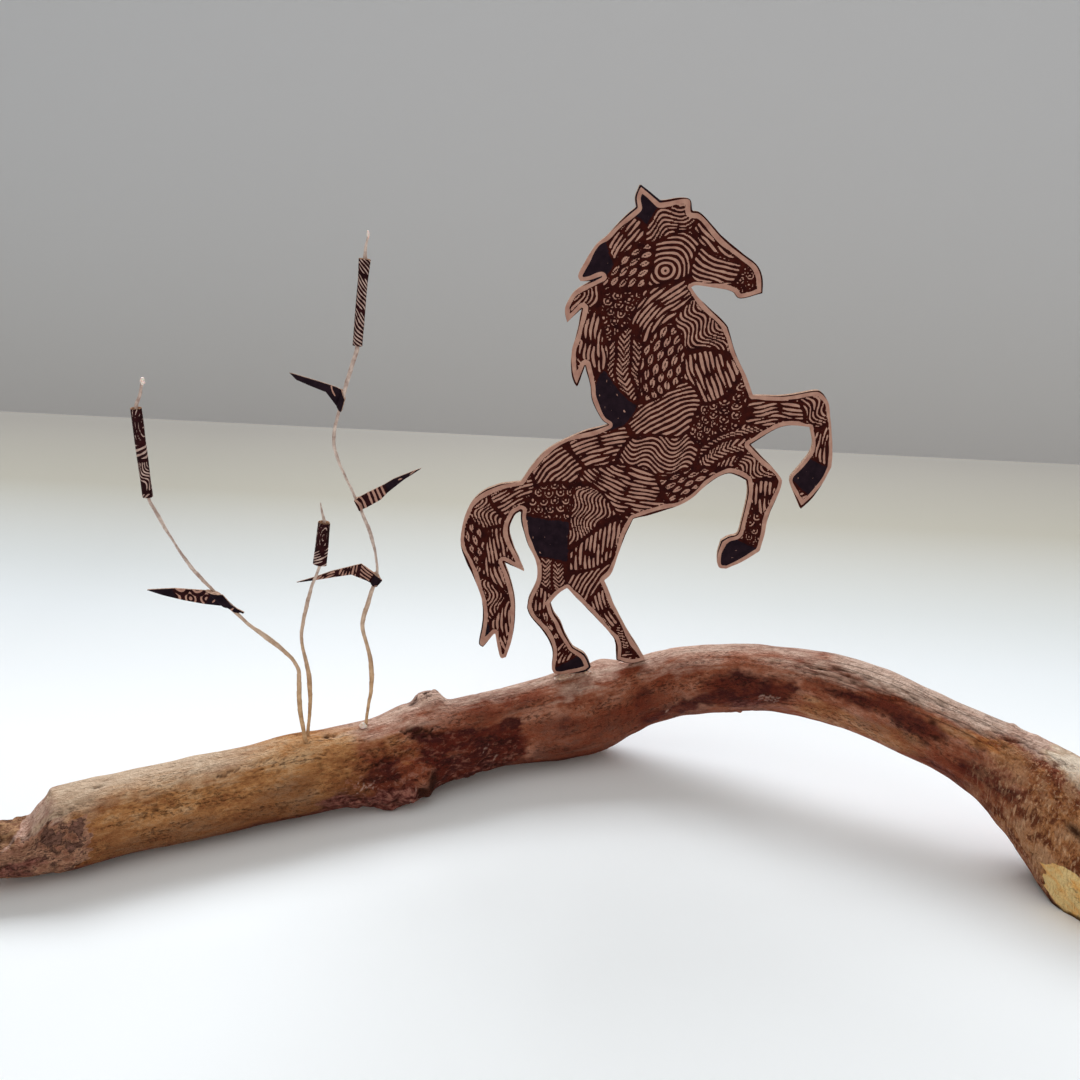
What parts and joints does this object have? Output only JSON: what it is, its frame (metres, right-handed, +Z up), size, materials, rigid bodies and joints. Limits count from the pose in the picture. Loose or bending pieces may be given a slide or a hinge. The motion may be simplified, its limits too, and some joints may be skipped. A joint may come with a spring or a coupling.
{
  "type": "driftwood horse sculpture",
  "caption": "Rearing horse cut flat from printed card, standing beside thin wired paper reeds on a long driftwood branch that arches down to a sawn foot.",
  "frame": {"origin": "middle of the bottom of the whole work's bounding box, on the table", "axes": "+Z up, +X along the driftwood from its broken end to its sawn foot, -Y towards the viewer of the horse's printed front"},
  "size_m": [0.3132, 0.1045, 0.1694],
  "materials": {
    "driftwood": "weathered, matt",
    "printed_card": "printed, matt",
    "stem_paper": "paper-wrapped wire, matt",
    "printed_paper": "printed, matt"
  },
  "bodies": {
    "root": {"driftwood_branch": "driftwood", "horse_cutout": "printed_card", "reed_stem_left": "stem_paper", "reed_stem_middle": "stem_paper", "reed_stem_right": "stem_paper", "reed_head_left": "printed_paper", "reed_head_middle": "printed_paper", "reed_head_right": "printed_paper", "leaf_left_stem": "printed_paper", "leaf_hooked": "printed_paper", "leaf_raised": "printed_paper", "leaf_bent": "printed_paper"}
  },
  "joints": []
}
